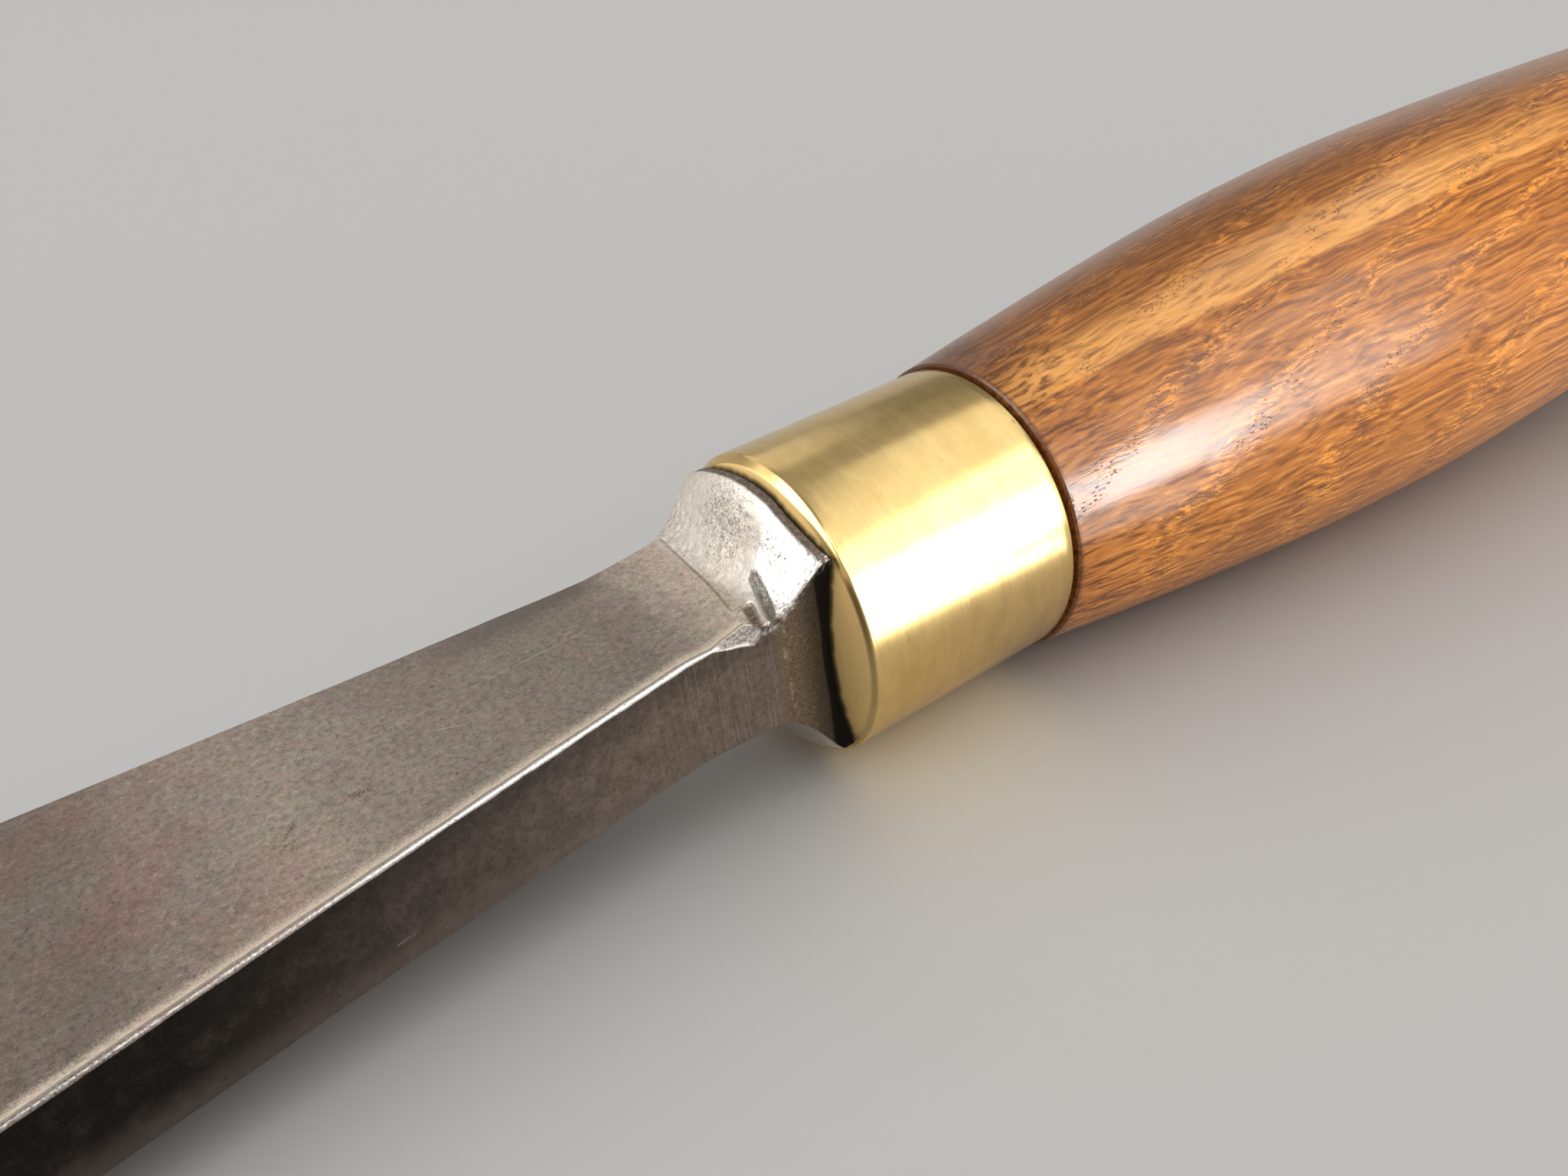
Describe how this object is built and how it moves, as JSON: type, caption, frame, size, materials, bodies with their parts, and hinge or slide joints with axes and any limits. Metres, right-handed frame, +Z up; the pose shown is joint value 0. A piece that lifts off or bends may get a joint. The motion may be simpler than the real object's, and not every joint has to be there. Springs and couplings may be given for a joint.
{
  "type": "wood chisel",
  "caption": "Tang chisel for woodwork: a tapered forged blade with a flat-sided bolster, a turned brass ferrule and a swelled hardwood handle.",
  "frame": {"origin": "middle of the tool's length and width, on the surface it lies on", "axes": "+X from the cutting edge to the butt, +Z up, bevel side up; the tool lies tipped about 4.6 degrees on its cutting edge and thick end"},
  "size_m": [0.234, 0.038, 0.0356],
  "materials": {
    "forged_steel": "old ground steel with a grey patina, fine pits and worn arrises",
    "turned_brass": "satin turned brass",
    "turned_wood": "oiled reddish hardwood with open pores"
  },
  "bodies": {
    "root": {"blade": "forged_steel", "ferrule": "turned_brass", "handle": "turned_wood"}
  },
  "joints": []
}
